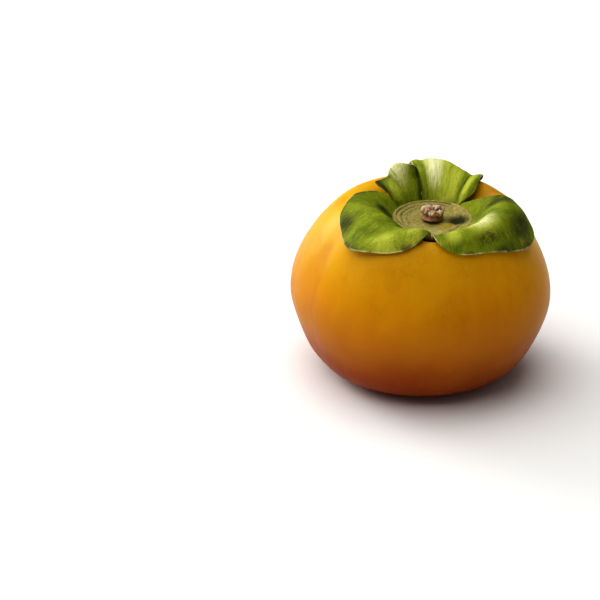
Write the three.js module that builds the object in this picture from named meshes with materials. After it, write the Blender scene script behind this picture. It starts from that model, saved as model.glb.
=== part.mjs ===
// A whole persimmon: a squat, faintly four-sided fruit with a leathery four-lobed calyx on its shoulder, the woody
// stub of its stalk in the middle of the calyx and the dry tip of the style in the dimple of its blossom end.
// Millimetres, +Z up. The fruit stands on its blossom end at z = 0, with the origin under the middle of its widest
// girth. An azimuth of 0 degrees points to -Y, the front, and 90 degrees to +X.
import * as THREE from "three";

// Driving dimensions
const HALF_WIDTH = 38.1;
const SHOULDER_RADIUS = 20.8;
const SHOULDER_HEIGHT = 52.9;
const SHOULDER_TILT = 0.9;
const CALYX_OFFSET = { x: 2.6, y: -4.8 };
const DISC_RADIUS = 12;
const LOBE_LENGTH = 25;
const GAP = 0.3;

// The fruit's outline from the bottom of the calyx basin, over the shoulder and down the flank, to the middle of the
// blossom end, as radius and height. Heights are held at 0 or more, which gives the flat ring that it stands on.
const FRUIT_OUTLINE = [
  [0, 46.9],
  [4.5, 46.9],
  [9, 46.9],
  [12.9, 47.6],
  [17, 50.8],
  [SHOULDER_RADIUS, SHOULDER_HEIGHT],
  [24.8, 51.4],
  [29, 46.8],
  [32.6, 41.3],
  [35.6, 35.6],
  [37.7, 29.6],
  [HALF_WIDTH, 23.6],
  [36.6, 17.6],
  [34.1, 11.8],
  [31, 6.7],
  [27.1, 3],
  [21, 0.7],
  [14, 0],
  [9, 0],
  [6.2, 0.7],
  [3.4, 2.3],
  [0, 2.8],
];
// Four soft grooves run down the flank, between four faintly square corners.
const GROOVES = { azimuth: 27, squareness: 0.009, depth: 0.014, sharpness: 5 };
// Shares of the outline between which the grooves fade in and out, and the calyx's offset and the tilt fade out.
const FADES = { groovesIn: [0.1, 0.26], groovesOut: [0.6, 0.8], offset: [0.14, 0.42], tilt: [0.22, 0.42] };

// The calyx's four lobes, from the front right anticlockwise, each between two sinuses at the azimuths "from" and
// "to". At those two sides the blade leaves the disc at the angles "leaves" to the skin and has bent to the angles
// "ends" one lobe's length further out. "margin" is its outline, as azimuth and length beyond the disc, and "folds"
// are its ridges and creases.
const LOBES = [
  {
    from: -4,
    to: 135,
    leaves: [-5, 8],
    ends: [2, -8],
    margin: [
      [-3, 2.5], [-2.5, 8], [1, 13.5], [8, 17.7], [16, 20.2], [26, 21.7], [38, 22.8], [53, 25], [66, 25],
      [76, 21.5], [83, 16], [91, 11.4], [103, 8], [118, 4.5], [133, 2],
    ],
    folds: [{ at: 58, height: 0.6, width: 16 }],
  },
  {
    from: 135,
    to: 192,
    leaves: [14, 28],
    ends: [-40, -50],
    margin: [
      [136, 2.5], [135, 8], [137, 14], [143, 18.5], [151, 21.5], [162, 23], [174, 22.6], [184, 20.5], [189, 15],
      [191, 8], [191, 2.5],
    ],
    folds: [{ at: 143, height: -1.2, width: 5 }, { at: 172, height: 1.9, width: 13 }],
  },
  {
    from: 192,
    to: 231,
    leaves: [24, 6],
    ends: [-44, -20],
    margin: [
      [193, 2.5], [193, 7.5], [194, 13], [198, 17.5], [204, 18.5], [210, 16.5], [217, 14.6], [224, 13.4], [229, 10],
      [230, 6], [230, 2.5],
    ],
    folds: [{ at: 204, height: 1.3, width: 7 }],
  },
  {
    from: 231,
    to: 356,
    leaves: [20, -5],
    ends: [-24, 2],
    margin: [
      [232, 2.5], [241, 6], [255, 8.8], [270, 11], [283, 13.8], [292, 17], [301, 19.6], [310, 21.8],
      [317, 22.8], [328, 21.5], [338, 20], [346, 17.4], [352, 13], [354.5, 7.5], [355, 2.5],
    ],
    folds: [{ at: 312, height: 1.3, width: 13 }],
  },
];
const CALYX = {
  discThickness: 1.3,
  bladeThickness: 0.85,
  bowlRadius: 6.6,
  rimRise: 0.35,
  taperLength: 10,
  reliefLength: 20,
  wave: 0.3,
  wavesPerLobe: 2.5,
};

// The stalk's stub from its torn, hollow top down to its foot, and the style's tip, as radius and height.
const STUB_OUTLINE = [
  [0, 1.8],
  [1, 2.1],
  [1.9, 3],
  [2.7, 2.9],
  [3, 2],
  [2.7, 1],
  [3.1, 0],
  [0, 0],
];
// Lumps of the stub as waves around it, their share of its radius, phase and twist per millimetre of height. They
// fade out over the foot.
const STUB_LUMPS = [
  { waves: 3, size: 0.09, phase: 0.7, twist: 0 },
  { waves: 5, size: 0.063, phase: 0, twist: 2 },
  { waves: 8, size: 0.036, phase: 0, twist: -1 },
];
const STUB = { foot: 1, lean: { x: 0.3, y: -0.3 } };
const STYLE_OUTLINE = [
  [0, 0],
  [0.9, 0],
  [0.7, -0.6],
  [0.4, -1.2],
  [0, -1.5],
];

// Facets of the four pieces, and the small steps from which the directions of surfaces are taken.
const FACETS_AROUND = { fruit: 56, stub: 20, style: 12 };
const ROWS_PER_OUTLINE_POINT = 2;
const CALYX_FACETS = { columns: 20, discRows: 5, bladeRows: 8 };
const LENGTH_STEPS = 600;
const STEP = { azimuth: 0.5, share: 0.004, length: 0.2 };

const { smoothstep, degToRad, lerp } = THREE.MathUtils;
const UP = new THREE.Vector3(0, 0, 1);
const spline = (points) => new THREE.SplineCurve(points.map(([x, y]) => new THREE.Vector2(x, y)));
const outward = (azimuth, radius) =>
  new THREE.Vector3(radius * Math.sin(degToRad(azimuth)), -radius * Math.cos(degToRad(azimuth)), 0);

// Fruit

const fruitOutline = spline(FRUIT_OUTLINE);
fruitOutline.arcLengthDivisions = LENGTH_STEPS;
const outlineLength = fruitOutline.getLength();

// A point of the skin at an azimuth, and at a share of the outline from the calyx basin to the blossom end. The
// grooves fade into the basin and the blossom end. The basin lies off the middle of the girth, and its shoulder is
// lower on the side that it has moved to.
function skin(azimuth, share) {
  const { x: radius, y: height } = fruitOutline.getPoint(share);
  const flank = smoothstep(share, ...FADES.groovesIn) * (1 - smoothstep(share, ...FADES.groovesOut));
  const fourfold = Math.cos(4 * degToRad(azimuth - GROOVES.azimuth));
  const groove = GROOVES.squareness * fourfold + GROOVES.depth * Math.exp(GROOVES.sharpness * (fourfold - 1));
  const point = outward(azimuth, radius * (1 - flank * groove));
  const offset = 1 - smoothstep(share, ...FADES.offset);
  const tilt = SHOULDER_TILT * (point.y / SHOULDER_RADIUS) * (1 - smoothstep(share, ...FADES.tilt));
  point.x += CALYX_OFFSET.x * offset;
  point.y += CALYX_OFFSET.y * offset;
  return point.setZ(Math.max(0, height) + tilt);
}

// A point at a height over the skin, at a distance along it from the middle of the calyx.
function overSkin(azimuth, distance, height) {
  const share = fruitOutline.getUtoTmapping(distance / outlineLength);
  const along = skin(azimuth, share + STEP.share).sub(skin(azimuth, Math.max(0, share - STEP.share)));
  const around = skin(azimuth + STEP.azimuth, share).sub(skin(azimuth - STEP.azimuth, share));
  const normal = distance > 0 ? along.cross(around).normalize() : UP;
  return skin(azimuth, share).addScaledVector(normal, height);
}

// A closed round solid whose surface is given at each azimuth and share of the way along its outline, from top to
// bottom.
function turned(surface, outline, around) {
  const along = ROWS_PER_OUTLINE_POINT * (outline.length - 1);
  const geometry = new THREE.SphereGeometry(1, around, along);
  const { position, uv } = geometry.attributes;
  for (let i = 0; i < position.count; i += 1) {
    const pole = uv.getY(i) === 0 || uv.getY(i) === 1;
    const point = surface(pole ? 0 : 360 * uv.getX(i), 1 - uv.getY(i));
    position.setXYZ(i, point.x, point.y, point.z);
  }
  return geometry;
}

// Calyx

// A point in the middle of the disc's thickness. The disc rises a little towards its rim.
function disc(azimuth, radius) {
  const rise = CALYX.rimRise * smoothstep(radius, CALYX.bowlRadius, DISC_RADIUS);
  return overSkin(azimuth, radius, GAP + CALYX.discThickness / 2 + rise);
}

// A point in the middle of a lobe's thickness, at an azimuth and a length along the blade from the disc's rim. The
// blade bends evenly from its angle at the rim, and comes down no lower than onto the skin.
function leaf(lobe, azimuth, length) {
  const share = (azimuth - lobe.from) / (lobe.to - lobe.from);
  const leaves = degToRad(lerp(...lobe.leaves, share));
  const bend = (degToRad(lerp(...lobe.ends, share)) - leaves) / LOBE_LENGTH;
  const angle = leaves + bend * length;
  const distance = DISC_RADIUS + (Math.sin(angle) - Math.sin(leaves)) / bend;
  const arch = (Math.cos(leaves) - Math.cos(angle)) / bend;
  const wave = CALYX.wave * Math.sin(CALYX.wavesPerLobe * 2 * Math.PI * share);
  const bell = (fold) => fold.height * Math.exp(-(((azimuth - fold.at) / fold.width) ** 2));
  const relief = lobe.folds.reduce((sum, fold) => sum + bell(fold), wave);
  const raised = arch + relief * smoothstep(length, 0, CALYX.reliefLength);
  const lowest = GAP + CALYX.bladeThickness / 2;
  const base = GAP + CALYX.discThickness / 2 + CALYX.rimRise;
  return overSkin(azimuth, distance, Math.max(lowest, base + raised));
}

// The direction of a surface at an azimuth and a length, from points a small step either side.
function normalAt(surface, azimuth, length) {
  const around = surface(azimuth + STEP.azimuth, length).sub(surface(azimuth - STEP.azimuth, length));
  const outwards = surface(azimuth, length + STEP.length).sub(surface(azimuth, length - STEP.length));
  return outwards.cross(around).normalize();
}

// The disc and the four blades in one closed skin: a sheet of points above and one below, with walls at the margins.
function calyxGeometry() {
  const { columns, discRows, bladeRows } = CALYX_FACETS;
  const around = columns * LOBES.length;
  const rows = discRows + bladeRows;
  const above = [];
  const below = [];
  const place = (at, middle, normal, thickness) => {
    above[at] = middle.clone().addScaledVector(normal, thickness / 2);
    below[at] = middle.clone().addScaledVector(normal, -thickness / 2);
  };
  const index = (lobe, column, row) => {
    if (row === 0) return 0;
    if (row <= discRows) return 1 + (row - 1) * around + ((lobe * columns + column) % around);
    const blades = 1 + discRows * around;
    return blades + (lobe * bladeRows + row - discRows - 1) * (columns + 1) + column;
  };

  place(0, disc(0, 0), UP, CALYX.discThickness);
  LOBES.forEach((lobe, n) => {
    const margin = spline(lobe.margin);
    const blade = (azimuth, length) => leaf(lobe, azimuth, length);
    for (let column = 0; column <= columns; column += 1) {
      const rim = lerp(lobe.from, lobe.to, column / columns);
      for (let row = 1; row <= discRows; row += 1) {
        const radius = (DISC_RADIUS * row) / discRows;
        place(index(n, column, row), disc(rim, radius), normalAt(disc, rim, radius), CALYX.discThickness);
      }
      const edge = margin.getPoint(column / columns);
      for (let row = 1; row <= bladeRows; row += 1) {
        const share = row / bladeRows;
        const azimuth = lerp(rim, edge.x, share);
        const length = edge.y * share;
        const taper = smoothstep(length, 0, CALYX.taperLength);
        const thickness = lerp(CALYX.discThickness, CALYX.bladeThickness, taper);
        const at = index(n, column, discRows + row);
        place(at, blade(azimuth, length), normalAt(blade, azimuth, length), thickness);
      }
    }
  });

  const count = above.length;
  const triangles = [];
  const wall = (p, q) => triangles.push(q, p, p + count, q, p + count, q + count);
  const sheet = (p, q, r) => triangles.push(p, q, r, p + count, r + count, q + count);
  LOBES.forEach((_, n) => {
    for (let row = 0; row < rows; row += 1) {
      for (let column = 0; column < columns; column += 1) {
        const [inner, innerNext] = [index(n, column, row), index(n, column + 1, row)];
        const [outer, outerNext] = [index(n, column, row + 1), index(n, column + 1, row + 1)];
        if (row === 0) {
          sheet(inner, outer, outerNext);
        } else if (above[inner].distanceTo(above[outerNext]) < above[innerNext].distanceTo(above[outer])) {
          sheet(inner, outer, outerNext);
          sheet(inner, outerNext, innerNext);
        } else {
          sheet(inner, outer, innerNext);
          sheet(outer, outerNext, innerNext);
        }
        if (row === rows - 1) wall(outer, outerNext);
      }
      if (row >= discRows) {
        wall(index(n, 0, row), index(n, 0, row + 1));
        wall(index(n, columns, row + 1), index(n, columns, row));
      }
    }
  });
  const positions = [...above, ...below].flatMap((point) => point.toArray());
  const geometry = new THREE.BufferGeometry();
  geometry.setAttribute("position", new THREE.Float32BufferAttribute(positions, 3));
  geometry.setIndex(triangles);
  geometry.computeVertexNormals();
  return geometry;
}

// Stub of the stalk and tip of the style

const stubOutline = spline(STUB_OUTLINE);
const styleOutline = spline(STYLE_OUTLINE);

function stubSurface(azimuth, share) {
  const { x: radius, y: height } = stubOutline.getPoint(share);
  const turn = degToRad(azimuth);
  const bump = (lump) => lump.size * Math.sin(lump.waves * turn + lump.phase + lump.twist * height);
  const lumps = STUB_LUMPS.reduce((sum, lump) => sum + bump(lump), 0);
  const point = outward(azimuth, radius * (1 + lumps * smoothstep(height, 0, STUB.foot)));
  const lean = height / STUB_OUTLINE[0][1];
  return point.add(new THREE.Vector3(STUB.lean.x * lean, STUB.lean.y * lean, Math.max(0, height)));
}

function styleSurface(azimuth, share) {
  const { x: radius, y: height } = styleOutline.getPoint(share);
  return outward(azimuth, Math.max(0, radius)).setZ(Math.min(0, height));
}

function piece(name, geometry, color, roughness) {
  const mesh = new THREE.Mesh(geometry, new THREE.MeshStandardMaterial({ color, roughness, metalness: 0 }));
  mesh.name = name;
  return mesh;
}

const persimmon = new THREE.Group();
persimmon.name = "persimmon";

const fruit = piece("fruit", turned(skin, FRUIT_OUTLINE, FACETS_AROUND.fruit), 0xe08a0c, 0.35);
const calyx = piece("calyx", calyxGeometry(), 0x7f9a24, 0.7);
const stub = piece("stalk_stub", turned(stubSurface, STUB_OUTLINE, FACETS_AROUND.stub), 0x7a5a45, 0.9);
stub.position.copy(disc(0, 0)).addScaledVector(UP, CALYX.discThickness / 2 + GAP);
const style = piece("style_tip", turned(styleSurface, STYLE_OUTLINE, FACETS_AROUND.style), 0x2a1c14, 0.9);
style.position.set(0, 0, FRUIT_OUTLINE.at(-1)[1] - GAP);
persimmon.add(fruit, calyx, stub, style);

export default persimmon;
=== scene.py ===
"""A whole persimmon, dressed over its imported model: the fruit's skin, the leathery four-lobed calyx, the
torn stub of the stalk in the middle of it and the dry tip of the style in the dimple of the blossom end.

Shapes are worked out in millimetres and placed in metres. An azimuth of 0 degrees points to -Y, the front,
and 90 degrees to +X. Heights and distances in the materials are in metres."""

import math
from bisect import bisect_right

import bmesh
import bpy
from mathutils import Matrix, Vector, noise


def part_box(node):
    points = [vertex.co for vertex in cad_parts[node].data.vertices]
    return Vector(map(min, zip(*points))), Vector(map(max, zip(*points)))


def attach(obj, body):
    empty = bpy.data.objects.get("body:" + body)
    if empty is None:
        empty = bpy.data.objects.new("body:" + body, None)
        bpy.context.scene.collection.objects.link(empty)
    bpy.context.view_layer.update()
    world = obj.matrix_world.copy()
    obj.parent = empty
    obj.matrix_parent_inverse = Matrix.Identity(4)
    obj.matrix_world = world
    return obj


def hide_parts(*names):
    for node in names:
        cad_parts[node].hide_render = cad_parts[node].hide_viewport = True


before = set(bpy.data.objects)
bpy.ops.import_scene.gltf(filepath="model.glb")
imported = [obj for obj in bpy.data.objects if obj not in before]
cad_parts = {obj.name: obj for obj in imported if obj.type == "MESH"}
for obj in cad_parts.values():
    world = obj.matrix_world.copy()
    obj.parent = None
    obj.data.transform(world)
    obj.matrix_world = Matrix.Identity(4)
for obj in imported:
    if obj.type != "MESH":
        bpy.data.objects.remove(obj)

bl_info = {
    "name": "Persimmon",
    "version": (1, 0, 0),
    "blender": (4, 5, 0),
    "location": "View3D > Sidebar > Persimmon",
    "description": "Builds a persimmon's skin, calyx, stalk stub and style tip over its packed model",
    "category": "Add Mesh",
}

MM = 0.001

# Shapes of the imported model

HALF_WIDTH = 38.1
SHOULDER_HEIGHT = 52.9
SHOULDER_RADIUS = 20.8
SHOULDER_TILT = 0.9
CALYX_OFFSET = Vector((2.6, -4.8, 0))
DISC_RADIUS = 12
DISC_THICKNESS = 1.3
RIM_RISE = 0.35
BOWL_RADIUS = 6.6
LOBE_LENGTH = 25
GAP = 0.3

# The fruit's outline, as radius and height, from the bottom of the basin to the middle of the blossom end.
FRUIT_OUTLINE = [
    (0, 46.9), (4.5, 46.9), (9, 46.9), (12.9, 47.6), (17, 50.8), (SHOULDER_RADIUS, SHOULDER_HEIGHT),
    (24.8, 51.4), (29, 46.8), (32.6, 41.3), (35.6, 35.6), (37.7, 29.6), (HALF_WIDTH, 23.6), (36.6, 17.6),
    (34.1, 11.8), (31, 6.7), (27.1, 3), (21, 0.7), (14, 0), (9, 0), (6.2, 0.7), (3.4, 2.3), (0, 2.8),
]
OUTLINE_STEPS = 600
# Shares of the outline over which the grooves begin and die out, over which the shoulder's tilt and the
# basin's place off the middle of the girth die out, and at which the upper side ends.
GROOVES_BEGIN = (0.1, 0.26)
GROOVES_END = (0.6, 0.8)
TILT_ENDS = (0.22, 0.42)
OFFSET_ENDS = (0.14, 0.42)
UPPER_SIDE = 0.5
GROOVE_AZIMUTH = 27
GROOVE_SQUARENESS = 0.009
GROOVE_DEPTH = 0.014
GROOVE_SHARPNESS = 5
# The shoulder is lower in front of the calyx: place from the calyx's middle, width and depth.
FRONT_DIP = (0, -20, 13, 1.8)

# Each lobe lies between two sinuses at the azimuths "start" and "stop". At those sides its blade leaves
# the disc at the angles "leaves" and has bent to the angles "ends" one lobe's length further out. "margin"
# is its outline, as azimuth and length beyond the disc. "folds" are its broad ridges and furrows, as
# azimuth, height and width. "creases" are finer and run slantwise, as azimuth at the disc, azimuth one
# lobe's length out, height and width. A "tip" stands upright round its azimuth: from the length "start"
# on, the blade turns up by the angle "turn" over each further "length".
LOBES = [
    {
        "start": -4, "stop": 135, "leaves": (-5, 8), "ends": (2, -8),
        "margin": [
            (-3.5, 2.5), (-3, 8), (1, 12.8), (8, 16.5), (16, 18.8), (26, 20.1), (38, 21.4), (53, 24.2),
            (66, 25), (76, 21.5), (83, 16), (91, 11.4), (103, 8), (118, 4.5), (133, 2),
        ],
        "folds": [(58, 0.6, 16)],
        "creases": [(20, 24, 0.35, 5), (44, 50, -0.4, 6), (80, 74, 0.4, 7)],
    },
    {
        "start": 135, "stop": 192, "leaves": (14, 28), "ends": (-40, -50),
        "margin": [
            (136, 2.5), (127, 4.5), (125, 7.5), (132, 12.5), (146, 21), (160, 23), (174, 22.6),
            (184, 20.5), (189, 15), (191.6, 8), (191.6, 2.5),
        ],
        "folds": [(143, -1.2, 5), (172, 1.9, 13)],
        "creases": [(146, 136, -1.3, 2.2), (134, 126, 1.2, 4), (181, 181, -0.5, 3)],
    },
    {
        "start": 192, "stop": 231, "leaves": (36, 16), "ends": (-40, -18),
        "margin": [
            (192.4, 2.5), (191.5, 5), (191.5, 8), (194, 9.8), (199, 10.6), (205, 11), (211, 11),
            (216, 10.4), (221, 9.4), (226, 9.2), (231, 9.2), (237, 9.4), (236, 6.5), (231.5, 3.5),
            (230, 2.5),
        ],
        "folds": [(204, 1.3, 7)],
        "creases": [(213, 216, -0.7, 3)],
        "tip": {"azimuth": 201, "width": 11, "start": 5, "length": 6.5, "turn": 62},
    },
    {
        "start": 231, "stop": 356, "leaves": (20, -5), "ends": (-24, 2),
        "margin": [
            (232, 2.5), (241, 6), (255, 8.8), (270, 11), (283, 13.8), (292, 17), (301, 19.6), (310, 21.8),
            (317, 22.6), (328, 21.1), (338, 19.4), (346, 16.8), (352, 12.4), (355, 7.5), (355.8, 2.5),
        ],
        "folds": [(312, 1.3, 13)],
        "creases": [(373, 312, 1.3, 7), (346, 292, -0.7, 8), (268, 276, 0.4, 7)],
    },
]
WAVE = 0.3
WAVES_PER_LOBE = 2.5

STUB_OUTLINE = [(0, 1.8), (1, 2.1), (1.9, 3), (2.7, 2.9), (3, 2), (2.7, 1), (3.1, 0), (0, 0)]
STUB_LUMPS = 0.09
STUB_LEAN = Vector((0.3, -0.3, 0))
STYLE_OUTLINE = [(0, 0), (0.9, 0), (0.7, -0.6), (0.4, -1.2), (0, -1.5)]


# Sums

def lerp(start, end, share):
    return start + (end - start) * share


def smoothstep(value, low, high):
    """0 up to low and 1 from high on, with a smooth change between."""
    share = min(max((value - low) / (high - low), 0), 1)
    return share * share * (3 - 2 * share)


def bell(value, middle, width):
    """1 at the middle, falling off evenly on both sides."""
    return math.exp(-(((value - middle) / width) ** 2))


def plateau(value, middle, width):
    """Nearly 1 round the middle, falling off steeply a width away."""
    return math.exp(-(((value - middle) / width) ** 4))


def crumple(point, scale):
    """Uneven height over a place, with larger waves as long as one over the scale."""
    return noise.noise(point * scale) + 0.5 * noise.noise(point * scale * 2.3)


def spline_point(points, share):
    """A point at a share of the way along a smooth curve through the given points."""
    last = len(points) - 1
    place = share * last
    step = min(int(place), last)
    part = place - step
    before, start, end, after = (points[min(max(step + k, 0), last)] for k in (-1, 0, 1, 2))

    def coordinate(p0, p1, p2, p3):
        v0, v1 = (p2 - p0) / 2, (p3 - p1) / 2
        cubic = 2 * p1 - 2 * p2 + v0 + v1
        square = 3 * p2 - 3 * p1 - 2 * v0 - v1
        return ((cubic * part + square) * part + v0) * part + p1

    return tuple(coordinate(*values) for values in zip(before, start, end, after))


def outward(azimuth, radius):
    """The level vector with an azimuth and a length."""
    turn = math.radians(azimuth)
    return Vector((radius * math.sin(turn), -radius * math.cos(turn), 0))


# Places on the fruit

def outline_lengths():
    """Lengths along the fruit's outline, from the middle of the basin to each of its even steps."""
    lengths = [0.0]
    last = Vector(spline_point(FRUIT_OUTLINE, 0))
    for step in range(1, OUTLINE_STEPS + 1):
        point = Vector(spline_point(FRUIT_OUTLINE, step / OUTLINE_STEPS))
        lengths.append(lengths[-1] + (point - last).length)
        last = point
    return lengths


LENGTHS = outline_lengths()


def share_at(distance):
    """The share of the outline that lies a distance along it from the middle of the basin."""
    step = min(max(bisect_right(LENGTHS, distance) - 1, 0), OUTLINE_STEPS - 1)
    part = (distance - LENGTHS[step]) / (LENGTHS[step + 1] - LENGTHS[step])
    return (step + part) / OUTLINE_STEPS


def sunk(point, share, hollow):
    """How deep a round hollow of the upper side is at a point. The hollow is given by its place from the
    calyx's middle, its width and its depth."""
    across, back, width, depth = hollow
    apart = point - CALYX_OFFSET - Vector((across, back, point.z))
    return depth * bell(apart.length, 0, width) if share < UPPER_SIDE else 0


def skin(azimuth, share):
    """A point of the skin at a share of the outline. Four soft grooves run down the flank, the basin lies
    off the middle of the girth, and the shoulder dips in front of it."""
    radius, height = spline_point(FRUIT_OUTLINE, share)
    flank = smoothstep(share, *GROOVES_BEGIN) * (1 - smoothstep(share, *GROOVES_END))
    fourfold = math.cos(4 * math.radians(azimuth - GROOVE_AZIMUTH))
    groove = GROOVE_SQUARENESS * fourfold + GROOVE_DEPTH * math.exp(GROOVE_SHARPNESS * (fourfold - 1))
    point = outward(azimuth, radius * (1 - flank * groove))
    tilt = SHOULDER_TILT * point.y / SHOULDER_RADIUS * (1 - smoothstep(share, *TILT_ENDS))
    point += CALYX_OFFSET * (1 - smoothstep(share, *OFFSET_ENDS))
    point.z = max(0, height) + tilt - sunk(point, share, FRONT_DIP)
    return point


def over_skin(azimuth, distance, height):
    """A point at a height over the skin, at a distance along it from the middle of the calyx."""
    share = share_at(distance)
    point = skin(azimuth, share)
    if distance <= 0:
        return point + Vector((0, 0, height))
    step, turn = 0.004, 0.5  # short ways along and around, whose cross product points off the skin
    along = skin(azimuth, share + step) - skin(azimuth, max(0, share - step))
    around = skin(azimuth + turn, share) - skin(azimuth - turn, share)
    return point + height * along.cross(around).normalized()


# Meshes

# Past this height a point of a sphere of radius 1 is its pole, which has no azimuth.
POLE = 0.99999


def add_object(name, data):
    thing = bpy.data.objects.new(name, data)
    bpy.context.scene.collection.objects.link(thing)
    return thing


def mapped_sphere(name, around, along, surface):
    """A closed round piece made from a sphere. Its surface is given, in millimetres, at each azimuth and
    share of the way from top to bottom."""
    mesh = bmesh.new()
    bmesh.ops.create_uvsphere(mesh, u_segments=around, v_segments=along, radius=1)
    for vert in mesh.verts:
        azimuth = math.degrees(math.atan2(vert.co.x, -vert.co.y)) if abs(vert.co.z) < POLE else 0
        share = math.acos(min(max(vert.co.z, -1), 1)) / math.pi
        vert.co = MM * surface(azimuth, share)
    return finished(mesh, name)


def finished(mesh, name):
    """The piece made of a mesh, after its faces are turned to point outwards."""
    bmesh.ops.recalc_face_normals(mesh, faces=mesh.faces)
    return shown(mesh, name)


def shown(mesh, name):
    """The piece made of a mesh, with its faces shaded smooth."""
    for face in mesh.faces:
        face.smooth = True
    data = bpy.data.meshes.new(name)
    mesh.to_mesh(data)
    mesh.free()
    return add_object(name, data)


def dress(piece, node, material):
    """Puts a finished piece in the place of its plain node."""
    piece.data.materials.append(material)
    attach(piece, "root")
    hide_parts(node)


# Finishes

# Places of a colour Mix node's sockets, some of which share their names.
MIX_SHARE, MIX_FIRST, MIX_SECOND, MIX_RESULT = 0, 6, 7, 2


class Socket:
    """An output of a node in a material, on which sums can be written."""

    def __init__(self, finish, output):
        self.finish = finish
        self.output = output

    def __add__(self, other):
        return self.finish.math("ADD", self, other)

    def __sub__(self, other):
        return self.finish.math("SUBTRACT", self, other)

    def __rsub__(self, other):
        return self.finish.math("SUBTRACT", other, self)

    def __mul__(self, other):
        return self.finish.math("MULTIPLY", self, other)

    def __pow__(self, other):
        return self.finish.math("POWER", self, other)

    def __abs__(self):
        return self.finish.math("ABSOLUTE", self)

    __radd__ = __add__
    __rmul__ = __mul__


class Finish:
    """A material that is being made of nodes."""

    def __init__(self, name):
        self.material = bpy.data.materials.new(name)
        self.material.use_nodes = True
        self.tree = self.material.node_tree
        self.shader = self.tree.nodes["Principled BSDF"]

    def node(self, kind, settings, inputs, output=0):
        """A node's output, after its settings are made and its inputs are set or linked."""
        node = self.tree.nodes.new(kind)
        for name, value in settings.items():
            setattr(node, name, value)
        for name, value in inputs.items():
            self.feed(node.inputs[name], value)
        return Socket(self, node.outputs[output])

    def feed(self, target, value):
        """Links a value to a socket, or sets it there where it is a number or a colour."""
        if isinstance(value, Socket):
            self.tree.links.new(value.output, target)
        else:
            target.default_value = value

    def ends(self, **inputs):
        """The material, after its shader is fed. A socket's name has low lines here for its spaces."""
        for name, value in inputs.items():
            self.feed(self.shader.inputs[name.replace("_", " ").title().replace("Ior", "IOR")], value)
        return self.material

    def math(self, operation, first, second=0):
        return self.node("ShaderNodeMath", {"operation": operation}, {0: first, 1: second})

    def place(self):
        return self.node("ShaderNodeTexCoord", {}, {}, "Object")

    def along(self, vector, axis):
        return self.node("ShaderNodeSeparateXYZ", {}, {"Vector": vector}, axis)

    def attribute(self, name):
        return self.node("ShaderNodeAttribute", {"attribute_name": name}, {}, "Fac")

    def vector(self, x, y, z):
        return self.node("ShaderNodeCombineXYZ", {}, {"X": x, "Y": y, "Z": z})

    def stretched(self, vector, scale):
        return self.node("ShaderNodeVectorMath", {"operation": "MULTIPLY"}, {0: vector, 1: scale})

    def noise(self, vector, scale, detail=3, roughness=0.55):
        """Soft clouds from 0 to 1, with about as many to a metre as the scale says."""
        sockets = {"Vector": vector, "Scale": scale, "Detail": detail, "Roughness": roughness}
        return self.node("ShaderNodeTexNoise", {}, sockets)

    def cells(self, vector, scale, feature="F1"):
        """Distance to the middle, or with another feature to the edge, of small uneven cells."""
        sockets = {"Vector": vector, "Scale": scale}
        return self.node("ShaderNodeTexVoronoi", {"feature": feature}, sockets, "Distance")

    def fade(self, value, low, high):
        """0 up to low and 1 from high on, with a smooth change between. A high below low reverses it."""
        low, high, start = (low, high, 0) if low < high else (high, low, 1)
        sockets = {"Value": value, "From Min": low, "From Max": high, "To Min": start, "To Max": 1 - start}
        return self.node("ShaderNodeMapRange", {"interpolation_type": "SMOOTHSTEP"}, sockets)

    def spot(self, value, middle, width):
        """1 where a value is at its middle, fading to 0 a width away on both sides."""
        return self.fade(abs(value - middle), width, 0)

    def blob(self, place, middle, radius, core=0.3):
        """1 round a place seen from above, out to a core share of the radius, and 0 past the radius."""
        x, y = self.along(place, "X") - middle[0], self.along(place, "Y") - middle[1]
        return self.fade((x * x + y * y) ** 0.5, radius, core * radius)

    def tint(self, share, first, second):
        sockets = {MIX_SHARE: share, MIX_FIRST: first, MIX_SECOND: second}
        return self.node("ShaderNodeMix", {"data_type": "RGBA"}, sockets, MIX_RESULT)

    def layered(self, shade, *layers):
        """A colour under further ones, each of which is given as its strength, its mask and its colour."""
        for strength, mask, tone in layers:
            shade = self.tint(strength * mask, shade, tone)
        return shade

    def bump(self, height, distance, strength=1):
        sockets = {"Height": height, "Distance": distance, "Strength": strength}
        return self.node("ShaderNodeBump", {}, sockets)


def colour(name, description, default):
    """A property that holds a colour."""
    return bpy.props.FloatVectorProperty(
        name=name, description=description, subtype="COLOR", size=4, min=0, max=1, default=(*default, 1)
    )


def scaled(tone, share):
    """A colour made lighter or darker."""
    return [share * part for part in tone[:3]] + [1]


def calyx_patch(finish, place, across, back, radius, core=0.3):
    """A mask of a round patch, whose place from the middle of the calyx and radius are in millimetres."""
    middle = MM * (CALYX_OFFSET + Vector((across, back, 0)))
    return finish.blob(place, middle, MM * radius, core)


# Fruit

# A soft dent between the two front lobes: place from the middle of the calyx, width and depth.
DENT = (-1.8, -20, 4.5, 1.1)
# The flank is fuller low down: share of the outline, width and how far it stands out.
FULLER = (0.7, 0.09, 1.1)
# Slight waves of the skin, and the shares of the outline over which they begin and die out.
UNDULATION = 0.25
UNDULATION_SCALE = 0.05
UNDULATION_BEGINS = (0.1, 0.3)
UNDULATION_ENDS = (0.7, 0.8)
# Painted shade on the skin, under the calyx and in the notch between two lobes, where the lobes shade it:
# place from the calyx's middle, radius and the share of it that is fully shaded.
CALYX_SHADE = (0, 0, 17, 0.75)
NOTCH_SHADE = (15.41, 7.18, 9, 0.2)
# Heights between which the skin's colours change, each from where a change begins to where it is complete.
GOLDEN_HEIGHTS = (0.030, 0.056)
DEEP_HEIGHTS = (0.040, 0.012)
GROOVE_HEIGHTS = (0.014, 0.024)
GROOVE_TOPS = (0.052, 0.040)
PALER_HEIGHTS = (0.018, 0.034)


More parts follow.
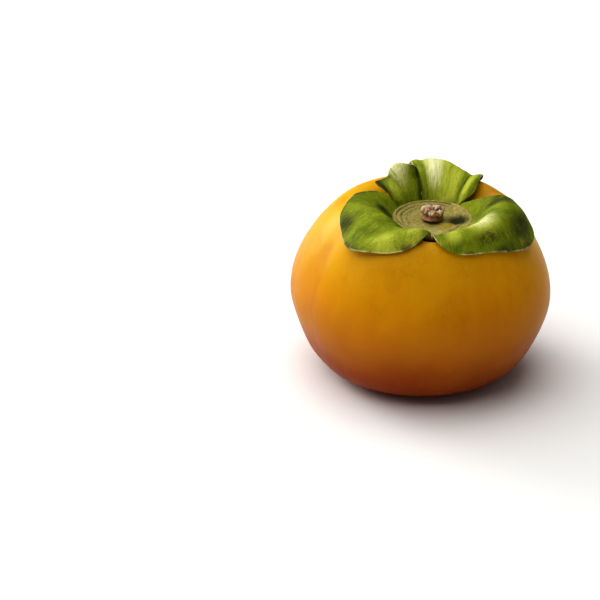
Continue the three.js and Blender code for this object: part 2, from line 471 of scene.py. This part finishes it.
class FruitSettings(bpy.types.PropertyGroup):
    around: bpy.props.IntProperty(name="Around", description="Faces round the fruit", default=192, min=32)
    along: bpy.props.IntProperty(
        name="Along", description="Faces from stalk to blossom end", default=132, min=24
    )
    ripe: colour("Ripe skin", "Skin of the upper flank", (0.66, 0.27, 0.002))
    golden: colour("Golden skin", "Skin of the shoulder", (0.75, 0.42, 0.004))
    # Deep skin is partly the foot's own deeper colour and partly painted shade.
    deep: colour("Deep skin", "Skin near the blossom end", (0.30, 0.055, 0.002))
    blush: colour("Blush", "Reddish skin in the grooves", (0.50, 0.16, 0.004))
    scar: colour("Scar", "Fine dry marks in the skin", (0.30, 0.13, 0.02))
    # Painted shade: a dark colour laid on the skin under the calyx and between its lobes.
    painted_shade: colour("Stained skin", "Old stained skin close to the calyx", (0.05, 0.03, 0.003))
    roughness: bpy.props.FloatProperty(
        name="Roughness", description="Roughness of the skin", default=0.36, min=0, max=1, subtype="FACTOR"
    )


def uneven_skin(azimuth, share):
    """A point of the skin with its unevenness, its fuller foot and its dent between the front lobes."""
    point = skin(azimuth, share)
    dent = sunk(point, share, DENT)
    flank = smoothstep(share, *UNDULATION_BEGINS) * (1 - smoothstep(share, *UNDULATION_ENDS))
    at, width, fuller = FULLER
    unevenness = UNDULATION * flank * crumple(point, UNDULATION_SCALE)
    point += outward(azimuth, unevenness + fuller * bell(share, at, width))
    point.z -= dent
    return point


def ripened(finish, settings, place, broad):
    """Colour of the skin: golden on the shoulder and deep at the foot, with a blush and soft mottles. The
    deep foot is partly the skin's deeper colour and partly painted shade.
    """
    height = finish.along(place, "Z")
    azimuth = finish.math("ARCTAN2", finish.along(place, "X"), 0 - finish.along(place, "Y"))
    fourfold = finish.math("COSINE", 4 * (azimuth - math.radians(GROOVE_AZIMUTH)))
    flank = finish.fade(height, *GROOVE_HEIGHTS) * finish.fade(height, *GROOVE_TOPS)
    mottled = finish.noise(finish.stretched(place, (1, 1, 0.4)), 150, 4)
    paler = finish.fade(mottled, 0.48, 0.3) * finish.fade(height, *PALER_HEIGHTS)
    return finish.layered(
        settings.ripe,
        (1, finish.fade(height + 0.010 * broad, *GOLDEN_HEIGHTS), settings.golden),
        # The darker foot is partly the skin's own deeper colour and partly painted shade.
        (1, finish.fade(height + 0.014 * broad, *DEEP_HEIGHTS), settings.deep),
        (0.14, finish.fade(fourfold, 0.90, 1) * flank, settings.blush),
        (0.25, finish.fade(broad, 0.4, 0.75), settings.blush),
        (0.22, finish.fade(mottled, 0.5, 0.7), settings.blush),
        (0.18, paler, settings.golden),
    )


def skin_marks(finish, place):
    """Masks of the fine dry cracks, which lie in patches, and of the flecks between them."""
    streaked = finish.stretched(place, (1, 1, 0.35))
    cracks = finish.fade(finish.cells(streaked, 900, "DISTANCE_TO_EDGE"), 0.05, 0)
    cracked = finish.fade(finish.noise(place, 90, 4), 0.52, 0.66)
    flecks = finish.fade(finish.cells(place, 750), 0.16, 0.05)
    flecked = finish.fade(finish.noise(place, 160, 2), 0.5, 0.6)
    return cracks * cracked, flecks * flecked


def fruit_finish(settings):
    """The finish of the skin, with a waxy gloss over its grain and its fine dry marks."""
    finish = Finish("persimmon_skin")
    place = finish.place()
    broad = finish.noise(place, 45, 3)
    fine = finish.noise(place, 420, 4)
    grain = finish.noise(place, 1900, 3)
    marks, flecks = skin_marks(finish, place)
    shade = finish.layered(
        ripened(finish, settings, place, broad),
        (0.2, marks, settings.scar),
        (0.3, flecks, settings.scar),
        # Painted shade round the calyx and in the notch between two lobes.
        (0.9, calyx_patch(finish, place, *CALYX_SHADE), settings.painted_shade),
        (0.4, calyx_patch(finish, place, *NOTCH_SHADE), settings.painted_shade),
    )
    relief = 0.25 * fine + 0.12 * grain - 0.3 * marks
    return finish.ends(
        base_color=shade,
        roughness=settings.roughness + 0.16 * fine - 0.05 + 0.1 * marks,
        specular_ior_level=0.13,
        coat_weight=0.02 + 0.03 * broad,
        coat_roughness=0.2,
        normal=finish.bump(relief, 0.0002, 0.6),
    )


class OBJECT_OT_persimmon_fruit(bpy.types.Operator):
    """Model the fruit and give it its waxy skin"""

    bl_idname = "object.persimmon_fruit"
    bl_label = "Fruit"

    def execute(self, context):
        settings = context.scene.persimmon_fruit
        piece = mapped_sphere("persimmon_fruit", settings.around, settings.along, uneven_skin)
        dress(piece, "fruit", fruit_finish(settings))
        return {"FINISHED"}


# Calyx

# How deep the middle of the disc is sunk, and the radii between which it rises again.
MIDDLE_DEPTH = 0.15
MIDDLE_RADII = (3, 9)
# Low rings round the disc's bowl, as radius, height and width, and the radii of the dark lines of painted
# shade in the grooves between them.
DISC_RINGS = [(8.4, 0.5, 0.5), (9.9, 0.6, 0.4), (11.2, 0.7, 0.45)]
DARK_LINES = (9.2, 10.6, 11.9)
DARK_LINE_WIDTH = 0.45
RING_WOBBLE = 0.5
RING_WOBBLE_SCALE = 0.3
# A flap of the disc beside the stub and the hollow behind it: place from the middle, width and height.
DISC_FORMS = [(3.9, -4.6, 2.2, 1.0), (7.4, -0.8, 2.6, -0.5)]
# Patches of colour on the flap, in front of it and in the hollow: place from the middle and radius. The
# flap's golden is painted light and the hollow's dark is the stub's painted shadow.
LIT_FLAP_PATCH = (3.7, -4.7, 3.8)
FRONT_PATCH = (-1, -9, 5)
SHADOWED_HOLLOW_PATCH = (7.2, -1, 4.5)

# Relief of the blades, and the lengths beyond the disc over which each kind of it grows to full height.
FOLDS_GROW = (0, 0.8 * LOBE_LENGTH)
CREASES_GROW = (1, 8)
VEINS_PER_LOBE = 9
VEIN_HEIGHT = 0.2
VEINS_GROW = (0.5, 4)
VEINS_FADE = 0.7
CRUMPLE_HEIGHT = 0.3
CRUMPLE_SCALE = 0.22
CRUMPLES_GROW = (1, 8)
# The frill grows over the last share of the way to the margin.
FRILL_HEIGHT = 0.25
FRILL_RADIUS = 30
FRILL_GROWS = (0.75, 1)
# How far over the gap the middle of a blade stays at least.
LEAST_RISE = 0.35
# A tip that would turn up by less than this angle, in radians, bends on evenly.
LEAST_TURN = 0.02
# Points of the lobes that are closer together than this are welded.
WELD = 0.02

# Patches of the lobes, each as azimuth, its width, length beyond the disc and its width. The pale and
# cream ones are partly painted light on faces turned to the light, and the dark ones partly painted shade
# on faces turned away, in creases and where one lobe shades another; the rest is the lobes' own pale, dark
# and dry colour.
PALE_AND_LIT_PATCHES = [
    (40, 24, 10, 8), (333, 13, 18, 8), (346, 9, 13, 6), (208, 12, 11, 9), (224, 12, 6, 5),
    (168, 24, 12, 20), (150, 10, 6, 9), (135, 8, 6, 9), (160, 9, 4, 6), (14, 9, 12, 5),
]
DARK_AND_SHADED_PATCHES = [
    (290, 40, 2, 9), (328, 14, 4, 7), (235, 5, 7, 9), (193, 7, 7, 16), (64, 24, 18, 8), (42, 16, 23, 5),
    (142, 3, 7, 8), (300, 12, 17, 5), (86, 18, 9, 7), (276, 14, 2, 6),
]
CREAM_AND_LIT_PATCHES = [(211, 13, 12, 9), (173, 13, 9, 8), (44, 22, 8, 7)]
BROWN_PATCHES = [(38, 14, 16, 4), (62, 8, 24, 3), (352, 8, 16, 4)]


class CalyxSettings(bpy.types.PropertyGroup):
    columns: bpy.props.IntProperty(
        name="Columns", description="Faces across each lobe", default=48, min=12
    )
    disc_rows: bpy.props.IntProperty(
        name="Disc rows", description="Faces along the disc's radius", default=24, min=4
    )
    blade_rows: bpy.props.IntProperty(
        name="Blade rows", description="Faces along each blade", default=28, min=8
    )
    thickness: bpy.props.FloatProperty(
        name="Thickness", description="Thickness at the disc", default=0.001, min=0, unit="LENGTH"
    )
    thin: bpy.props.FloatProperty(
        name="Thin margin",
        description="Share of the thickness that is left at the margin",
        default=0.45,
        min=0,
        max=1,
        subtype="FACTOR",
    )
    green: colour("Green", "Body of the lobes", (0.16, 0.21, 0.003))
    mid: colour("Mid green", "Lighter body of the lobes", (0.33, 0.40, 0.010))
    # Pale green is also painted light on lit faces of the lobes.
    pale: colour("Pale green", "Worn ridges and thin parts of the lobes", (0.62, 0.66, 0.08))
    # Dark green is also painted shade: on shaded faces of the lobes, in the grooves between the disc's
    # rings and in its hollow.
    dark: colour("Dark green", "Folds and old marks of the lobes", (0.022, 0.025, 0.003))
    olive: colour("Olive", "Disc round the stalk", (0.34, 0.28, 0.06))
    bowl: colour("Bowl", "Lighter grain of the disc", (0.56, 0.48, 0.19))
    # Golden is painted light on the flap beside the stalk.
    golden: colour("Golden", "Flap of the disc beside the stalk", (0.46, 0.35, 0.04))
    # Cream is also painted light on lit faces of the lobes.
    cream: colour("Cream", "Undersides, dried ridges and worn margins", (0.95, 0.92, 0.58))
    dry: colour("Dry brown", "Withered margins", (0.09, 0.045, 0.012))


def disc_point(azimuth, radius):
    """A point in the middle of the disc's thickness, with the low rings round its bowl and its flap."""
    rise = RIM_RISE * smoothstep(radius, BOWL_RADIUS, DISC_RADIUS)
    rise -= MIDDLE_DEPTH * (1 - smoothstep(radius, *MIDDLE_RADII))
    ripple = RING_WOBBLE * noise.noise(outward(azimuth, RING_WOBBLE_SCALE * radius))
    rings = sum(height * bell(radius, at + ripple, width) for at, height, width in DISC_RINGS)
    place = outward(azimuth, radius)
    forms = sum(
        height * bell((place - Vector((across, back, 0))).length, 0, width)
        for across, back, width, height in DISC_FORMS
    )
    return over_skin(azimuth, radius, GAP + DISC_THICKNESS / 2 + rise + rings + forms)


def lobe_share(lobe, azimuth):
    """How far across a lobe an azimuth lies, from 0 at its first sinus to 1 at its second."""
    return (azimuth - lobe["start"]) / (lobe["stop"] - lobe["start"])


def blade_path(lobe, azimuth, length):
    """Distance from the disc's middle and height over its rim, after a length of a blade. The blade bends
    evenly, and where it has a tip it then turns up more sharply."""
    across = lobe_share(lobe, azimuth)
    leaves = math.radians(lerp(*lobe["leaves"], across))
    bend = (math.radians(lerp(*lobe["ends"], across)) - leaves) / LOBE_LENGTH
    tip = lobe.get("tip")
    turn = math.radians(tip["turn"]) * plateau(azimuth, tip["azimuth"], tip["width"]) if tip else 0
    even = min(length, tip["start"]) if turn > LEAST_TURN else length
    angle = leaves + bend * even
    distance = DISC_RADIUS + (math.sin(angle) - math.sin(leaves)) / bend
    height = (math.cos(leaves) - math.cos(angle)) / bend
    if length > even:
        radius = tip["length"] / turn
        end = angle + (length - even) / radius
        distance += radius * (math.sin(end) - math.sin(angle))
        height += radius * (math.cos(angle) - math.cos(end))
    return distance, height


def blade_folds(lobe, azimuth, length):
    """Height of a blade's broad folds and finer creases, which grow with the length."""
    folds = sum(height * bell(azimuth, at, width) for at, height, width in lobe["folds"])
    folds += WAVE * math.sin(WAVES_PER_LOBE * 2 * math.pi * lobe_share(lobe, azimuth))
    creases = sum(
        height * bell(azimuth, lerp(inner, outer, length / LOBE_LENGTH), width)
        for inner, outer, height, width in lobe["creases"]
    )
    return folds * smoothstep(length, *FOLDS_GROW) + creases * smoothstep(length, *CREASES_GROW)


def blade_texture(lobe, azimuth, length, share):
    """Height of a blade's veins, which fan out along it, of its crumples and of its margin's frill."""
    veins = abs(math.cos(math.pi * VEINS_PER_LOBE * lobe_share(lobe, azimuth))) ** 3
    ridged = VEIN_HEIGHT * veins * smoothstep(length, *VEINS_GROW) * (1 - VEINS_FADE * share)
    place = outward(azimuth, DISC_RADIUS + length)
    rough = CRUMPLE_HEIGHT * crumple(place, CRUMPLE_SCALE) * smoothstep(length, *CRUMPLES_GROW)
    frill = FRILL_HEIGHT * noise.noise(outward(azimuth, FRILL_RADIUS)) * smoothstep(share, *FRILL_GROWS)
    return ridged + rough + frill


def blade_point(lobe, azimuth, length, share):
    """A point in the middle of a lobe's thickness, at a length beyond the disc that is a share of the way
    to the margin."""
    distance, height = blade_path(lobe, azimuth, length)
    height += GAP + DISC_THICKNESS / 2 + RIM_RISE
    height += blade_folds(lobe, azimuth, length) + blade_texture(lobe, azimuth, length, share)
    return over_skin(azimuth, distance, max(GAP + LEAST_RISE, height))


def lobe_sheet(mesh, lobe, settings, layers):
    """Lays one lobe and its part of the disc over the fruit, as a grid from the disc's middle to the
    margin. Each point keeps its bearing, its reach beyond the disc and its share of the way out."""
    rows = settings.disc_rows + settings.blade_rows
    grid = bmesh.ops.create_grid(mesh, x_segments=settings.columns, y_segments=rows, size=0.5)
    bearing, reach, margin = layers
    for vert in grid["verts"]:
        across, row = vert.co.x + 0.5, (vert.co.y + 0.5) * rows
        rim = lerp(lobe["start"], lobe["stop"], across)
        share = max(0, row - settings.disc_rows) / settings.blade_rows
        edge, edge_length = spline_point(lobe["margin"], across)
        azimuth, length = lerp(rim, edge, share), edge_length * share
        if row <= settings.disc_rows:
            radius = DISC_RADIUS * row / settings.disc_rows
            vert.co = MM * disc_point(azimuth, radius)
            vert[reach] = radius - DISC_RADIUS
        else:
            vert.co = MM * blade_point(lobe, azimuth, length, share)
            vert[reach] = length
        vert[bearing] = azimuth
        vert[margin] = share


def calyx_mesh(settings):
    """The four lobes and the disc, welded to one open sheet whose faces look up."""
    mesh = bmesh.new()
    layers = [mesh.verts.layers.float.new(name) for name in ("bearing", "reach", "margin")]
    for lobe in LOBES:
        lobe_sheet(mesh, lobe, settings, layers)
    bmesh.ops.remove_doubles(mesh, verts=mesh.verts, dist=WELD * MM)
    bmesh.ops.reverse_faces(mesh, faces=mesh.faces)
    return mesh


def thicken(piece, settings):
    """Gives the sheet its wall, which thins towards the margin, and rounds it."""
    thick = piece.vertex_groups.new(name="thick")
    for index, value in enumerate(piece.data.attributes["margin"].data):
        thick.add([index], 1 - value.value, "REPLACE")
    wall = piece.modifiers.new("Thickness", "SOLIDIFY")
    wall.thickness = settings.thickness
    wall.offset = 0
    wall.vertex_group = thick.name
    wall.thickness_vertex_group = settings.thin
    wall.material_offset = 1
    rounding = piece.modifiers.new("Rounding", "SUBSURF")
    rounding.levels = rounding.render_levels = 1


def patches(finish, places):
    """A mask of soft patches at places of the lobes."""
    bearing, reach = finish.attribute("bearing"), finish.attribute("reach")
    spots = [
        finish.spot(bearing, azimuth, width) * finish.spot(reach, out, length)
        for azimuth, width, out, length in places
    ]
    return finish.fade(sum(spots[1:], spots[0]), 0, 1)


def disc_shade(finish, settings, place, fine):
    """Colour of the disc: olive, with dark lines of painted shade between its rings, a golden flap of
    painted light and a dark hollow of painted shadow.
    """
    warp = 0.8 * finish.noise(place, 260, 2) - 0.4
    radius = finish.attribute("reach") + DISC_RADIUS + warp
    lines = [finish.spot(radius, at, DARK_LINE_WIDTH) for at in DARK_LINES]
    worn = finish.fade(finish.noise(place, 150, 2), 0.3, 0.6)
    return finish.layered(
        settings.olive,
        (1, finish.fade(fine, 0.3, 0.7), settings.bowl),
        (0.7, worn * sum(lines[1:], lines[0]), settings.dark),
        (0.6, calyx_patch(finish, place, *LIT_FLAP_PATCH), settings.golden),
        (0.8, calyx_patch(finish, place, *FRONT_PATCH), settings.bowl),
        (0.95, calyx_patch(finish, place, *SHADOWED_HOLLOW_PATCH), settings.dark),
    )


def lobe_shade(finish, settings, blotch, fine, fibres, speckle):
    """Colour of the lobes: blotched green with pale, dark, brown and cream patches and fibres. The pale
    and cream patches are partly painted light and the dark ones partly painted shade.
    """
    freckles = finish.fade(speckle, 0.56, 0.66) * finish.fade(blotch, 0.4, 0.6)
    return finish.layered(
        settings.green,
        (1, finish.fade(blotch, 0.3, 0.7), settings.mid),
        # Painted light and painted shade, together with the lobes' own pale and dark marks.
        (0.9, patches(finish, PALE_AND_LIT_PATCHES), settings.pale),
        (0.8, patches(finish, DARK_AND_SHADED_PATCHES), settings.dark),
        (0.32, finish.fade(fibres, 0.5, 0.68), settings.pale),
        (0.5, finish.fade(fibres, 0.48, 0.3), settings.dark),
        (0.45, freckles, settings.dry),
        (0.75, patches(finish, BROWN_PATCHES) * finish.fade(fine, 0.35, 0.6), settings.dry),
        (0.85, patches(finish, CREAM_AND_LIT_PATCHES) * finish.fade(fibres, 0.25, 0.55), settings.cream),
    )


def calyx_finish(name, settings, under):
    """The leathery finish of the calyx, as seen from above or from under the lobes."""
    finish = Finish(name)
    place = finish.place()
    bearing, reach, margin = (finish.attribute(layer) for layer in ("bearing", "reach", "margin"))
    blotch = finish.noise(place, 180, 4, 0.6)
    fine = finish.noise(place, 1100, 4, 0.6)
    warp = finish.noise(place, 120, 3)
    fibres = finish.noise(finish.vector(1.6 * bearing + 4 * warp, 0.25 * reach, 0), 1, 4, 0.65)

    shade = lobe_shade(finish, settings, blotch, fine, fibres, finish.noise(place, 2600, 2))
    if under:
        shade = finish.tint(0.55, shade, settings.cream)
    else:
        disc = disc_shade(finish, settings, place, fine)
        shade = finish.tint(finish.fade(reach, 0.5, -0.5), shade, disc)
    worn = finish.fade(margin + 0.02 * (blotch - 0.5), 0.972, 0.995) * finish.fade(warp, 0.35, 0.55)
    withered = finish.fade(margin + 0.2 * (blotch - 0.5), 0.88, 0.99) * finish.fade(warp, 0.5, 0.62)
    shade = finish.layered(shade, (0.7, worn, settings.cream), (0.8, withered, settings.dry))
    return finish.ends(
        base_color=shade,
        roughness=0.52 + 0.25 * fine,
        specular_ior_level=0.22,
        normal=finish.bump(0.5 * (fibres + fine + blotch), 0.0007, 0.9),
    )


class OBJECT_OT_persimmon_calyx(bpy.types.Operator):
    """Model the disc and the four lobes of the calyx in one leathery sheet"""

    bl_idname = "object.persimmon_calyx"
    bl_label = "Calyx"

    def execute(self, context):
        settings = context.scene.persimmon_calyx
        piece = shown(calyx_mesh(settings), "persimmon_calyx")
        thicken(piece, settings)
        dress(piece, "calyx", calyx_finish("calyx_leather", settings, False))
        piece.data.materials.append(calyx_finish("calyx_underside", settings, True))
        return {"FINISHED"}


# Stub of the stalk

# The torn top of the stub: how uneven its flank is, as a share of its radius, and its rim, in height.
STUB_TORN = 0.16
STUB_TORN_SCALE = 0.9
STUB_RAGGED = 0.7
STUB_RAGGED_HEIGHTS = (1.2, 2.6)
# The dark hole in the top, painted shade where the mesh has no hollow: its place as shares of the stub's
# width and depth, and its radius.
STUB_HOLE_SHADE = (0.72, 0.45, 1.9)


class StubSettings(bpy.types.PropertyGroup):
    around: bpy.props.IntProperty(name="Around", description="Faces round the stub", default=96, min=16)
    along: bpy.props.IntProperty(
        name="Along", description="Faces from its hollow to its foot", default=72, min=14
    )
    bark: colour("Bark", "Flank of the stub", (0.42, 0.22, 0.12))
    fibre: colour("Fibre", "Torn pale ring of the stub", (0.95, 0.80, 0.58))
    # Hollow also paints the shade of the hole in the top.
    hollow: colour("Hollow", "Dark middle of the stub", (0.015, 0.008, 0.004))


def stub_point(azimuth, share):
    """A point of the stub over the middle of the disc, with a split flank and a ragged torn top."""
    radius, height = spline_point(STUB_OUTLINE, share)
    turn = math.radians(azimuth)
    lumps = math.sin(3 * turn + 0.7) + 0.7 * math.sin(5 * turn + 2 * height)
    lumps += 0.4 * math.sin(8 * turn - height)
    torn = crumple(outward(azimuth, radius) + Vector((0, 0, 0.5 * height)), STUB_TORN_SCALE)
    spread = 1 + (STUB_LUMPS * lumps + STUB_TORN * torn) * smoothstep(height, 0, 1)
    lean = STUB_LEAN * (height / STUB_OUTLINE[0][1])
    ragged = STUB_RAGGED * torn * smoothstep(height, *STUB_RAGGED_HEIGHTS)
    foot = over_skin(0, 0, GAP + DISC_THICKNESS + GAP)
    return foot + outward(azimuth, radius * spread) + lean + Vector((0, 0, max(0, height + ragged)))


def stub_finish(settings):
    """The finish of the stub: bark at the foot and pale fibre over it, with dark tears and a dark hole of
    painted shade.
    """
    finish = Finish("stalk_wood")
    place = finish.place()
    low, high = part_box("stalk_stub")
    top = finish.fade(finish.along(place, "Z"), lerp(low.z, high.z, 0.35), lerp(low.z, high.z, 0.8))
    fine = finish.noise(finish.stretched(place, (1, 1, 0.3)), 1500, 4, 0.6)
    torn = finish.noise(place, 900, 3, 0.6)
    across, back, radius = STUB_HOLE_SHADE
    hole = (lerp(low.x, high.x, across), lerp(low.y, high.y, back))
    shade = finish.layered(
        settings.bark,
        (1, top * finish.fade(fine, 0.35, 0.65), settings.fibre),
        (0.9, finish.fade(torn, 0.43, 0.35), settings.hollow),
        # Painted shade of a hole in the top.
        (1, top * finish.blob(place, hole, radius * MM), settings.hollow),
    )
    return finish.ends(base_color=shade, roughness=0.85, normal=finish.bump(fine, 0.0006))


class OBJECT_OT_persimmon_stub(bpy.types.Operator):
    """Model the torn woody stub of the stalk"""

    bl_idname = "object.persimmon_stub"
    bl_label = "Stalk stub"

    def execute(self, context):
        settings = context.scene.persimmon_stub
        piece = mapped_sphere("persimmon_stalk_stub", settings.around, settings.along, stub_point)
        dress(piece, "stalk_stub", stub_finish(settings))
        return {"FINISHED"}


# Tip of the style

PINCH = 0.16


class StyleSettings(bpy.types.PropertyGroup):
    facets: bpy.props.IntProperty(name="Around", description="Faces round the tip", default=48, min=12)
    dry: colour("Dry tip", "Withered tip of the style", (0.03, 0.018, 0.01))


def style_point(azimuth, share):
    """A point of the withered tip, which is pinched into four."""
    radius, height = spline_point(STYLE_OUTLINE, share)
    pinched = 1 - PINCH * (1 + math.cos(4 * math.radians(azimuth))) * smoothstep(-height, 0, 0.6)
    top = FRUIT_OUTLINE[-1][1] - GAP
    return outward(azimuth, max(0, radius) * pinched) + Vector((0, 0, top + min(0, height)))


def style_finish(settings):
    finish = Finish("dry_style")
    fine = finish.noise(finish.place(), 2500, 3)
    shade = finish.tint(fine, settings.dry, scaled(settings.dry, 2.2))
    return finish.ends(base_color=shade, roughness=0.9, normal=finish.bump(fine, 0.0003))


class OBJECT_OT_persimmon_style(bpy.types.Operator):
    """Model the dry tip of the style in the dimple of the blossom end"""

    bl_idname = "object.persimmon_style"
    bl_label = "Style tip"

    def execute(self, context):
        settings = context.scene.persimmon_style
        piece = mapped_sphere("persimmon_style_tip", settings.facets, settings.facets // 2, style_point)
        dress(piece, "style_tip", style_finish(settings))
        return {"FINISHED"}


# Stage

SENSOR_WIDTH = 36
# Each soft light's azimuth, elevation, distance and width in metres, power in watts and colour.
LIGHTS = {
    "key": (-112, 65, 1.2, 2.3, 22.5, (1, 1, 0.98)),
    "window": (-130, 18, 0.9, 0.35, 2.2, (1, 1, 1)),
}


class StageSettings(bpy.types.PropertyGroup):
    reach: bpy.props.FloatProperty(
        name="Floor", description="From the fruit to the floor's sides", default=4, unit="LENGTH"
    )
    floor: colour("Floor colour", "Plain pale floor", (0.93, 0.93, 0.93))
    sky: colour("Sky", "Even light from all round", (1, 1, 1))
    sky_strength: bpy.props.FloatProperty(
        name="Sky strength", description="Strength of the even light", default=0.14
    )
    elevation: bpy.props.FloatProperty(
        name="Camera elevation",
        description="How far the camera looks down",
        default=math.radians(25),
        subtype="ANGLE",
    )
    distance: bpy.props.FloatProperty(
        name="Camera distance", description="From the camera to its aim", default=0.4955, unit="LENGTH"
    )
    lens: bpy.props.FloatProperty(name="Lens", description="Focal length", default=100, unit="CAMERA")
    aim: bpy.props.FloatVectorProperty(
        name="Aim",
        description="Point in the middle of the view",
        default=(-0.03547, 0, 0.02032),
        subtype="XYZ",
    )


def look(thing, place, aim):
    """Puts a lamp or camera at a place and turns it to what it looks at."""
    thing.location = place
    thing.rotation_euler = (aim - place).to_track_quat("-Z", "Y").to_euler()


def add_floor(settings):
    mesh = bmesh.new()
    bmesh.ops.create_grid(mesh, x_segments=1, y_segments=1, size=settings.reach)
    floor = finished(mesh, "floor")
    finish = Finish("pale_floor")
    soft = finish.noise(finish.place(), 30, 2)
    shade = finish.tint(soft, settings.floor, scaled(settings.floor, 0.98))
    floor.data.materials.append(finish.ends(base_color=shade, roughness=0.8))


def add_sky(settings):
    world = bpy.data.worlds.new("studio")
    world.use_nodes = True
    background = world.node_tree.nodes["Background"]
    background.inputs["Color"].default_value = settings.sky
    background.inputs["Strength"].default_value = settings.sky_strength
    bpy.context.scene.world = world


def add_light(name, azimuth, elevation, distance, width, power, tone):
    """A square soft light that points to the middle of the fruit."""
    lamp = bpy.data.lights.new(name, "AREA")
    lamp.shape = "SQUARE"
    lamp.size = width
    lamp.energy = power
    lamp.color = tone
    aim = Vector((0, 0, 0.5 * SHOULDER_HEIGHT * MM))
    rise = math.radians(elevation)
    away = outward(azimuth, distance * math.cos(rise)) + Vector((0, 0, distance * math.sin(rise)))
    look(add_object(name, lamp), aim + away, aim)


def add_camera(settings):
    lens = bpy.data.cameras.new("camera")
    lens.lens = settings.lens
    lens.sensor_width = SENSOR_WIDTH
    camera = add_object("camera", lens)
    aim = Vector(settings.aim)
    back = Vector((0, -math.cos(settings.elevation), math.sin(settings.elevation)))
    look(camera, aim + settings.distance * back, aim)
    bpy.context.scene.camera = camera


class OBJECT_OT_persimmon_stage(bpy.types.Operator):
    """Set the floor, the soft lights and the camera"""

    bl_idname = "object.persimmon_stage"
    bl_label = "Stage"

    def execute(self, context):
        settings = context.scene.persimmon_stage
        add_floor(settings)
        add_sky(settings)
        for name, values in LIGHTS.items():
            add_light(name, *values)
        add_camera(settings)
        context.scene.view_settings.view_transform = "Standard"
        context.scene.view_settings.look = "High Contrast"
        return {"FINISHED"}


# Add-on

OPERATORS = (
    OBJECT_OT_persimmon_fruit,
    OBJECT_OT_persimmon_calyx,
    OBJECT_OT_persimmon_stub,
    OBJECT_OT_persimmon_style,
    OBJECT_OT_persimmon_stage,
)
SETTINGS = {
    "persimmon_fruit": FruitSettings,
    "persimmon_calyx": CalyxSettings,
    "persimmon_stub": StubSettings,
    "persimmon_style": StyleSettings,
    "persimmon_stage": StageSettings,
}


class VIEW3D_PT_persimmon(bpy.types.Panel):
    """The persimmon's pieces, with their sizes and colours"""

    bl_idname = "VIEW3D_PT_persimmon"
    bl_label = "Persimmon"
    bl_space_type = "VIEW_3D"
    bl_region_type = "UI"
    bl_category = "Persimmon"

    def draw(self, context):
        for operator, (name, group) in zip(OPERATORS, SETTINGS.items()):
            box = self.layout.box()
            box.operator(operator.bl_idname)
            for setting in group.__annotations__:
                box.prop(getattr(context.scene, name), setting)


def register():
    for group in SETTINGS.values():
        bpy.utils.register_class(group)
    for kind in (*OPERATORS, VIEW3D_PT_persimmon):
        bpy.utils.register_class(kind)
    for name, group in SETTINGS.items():
        setattr(bpy.types.Scene, name, bpy.props.PointerProperty(type=group))


def unregister():
    for name in SETTINGS:
        delattr(bpy.types.Scene, name)
    for kind in (VIEW3D_PT_persimmon, *reversed(OPERATORS), *reversed(SETTINGS.values())):
        bpy.utils.unregister_class(kind)


def main():
    """Builds every piece and the stage."""
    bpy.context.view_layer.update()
    register()
    for operator in OPERATORS:
        getattr(bpy.ops.object, operator.bl_idname.split(".")[1])()


if __name__ == "__main__":
    main()
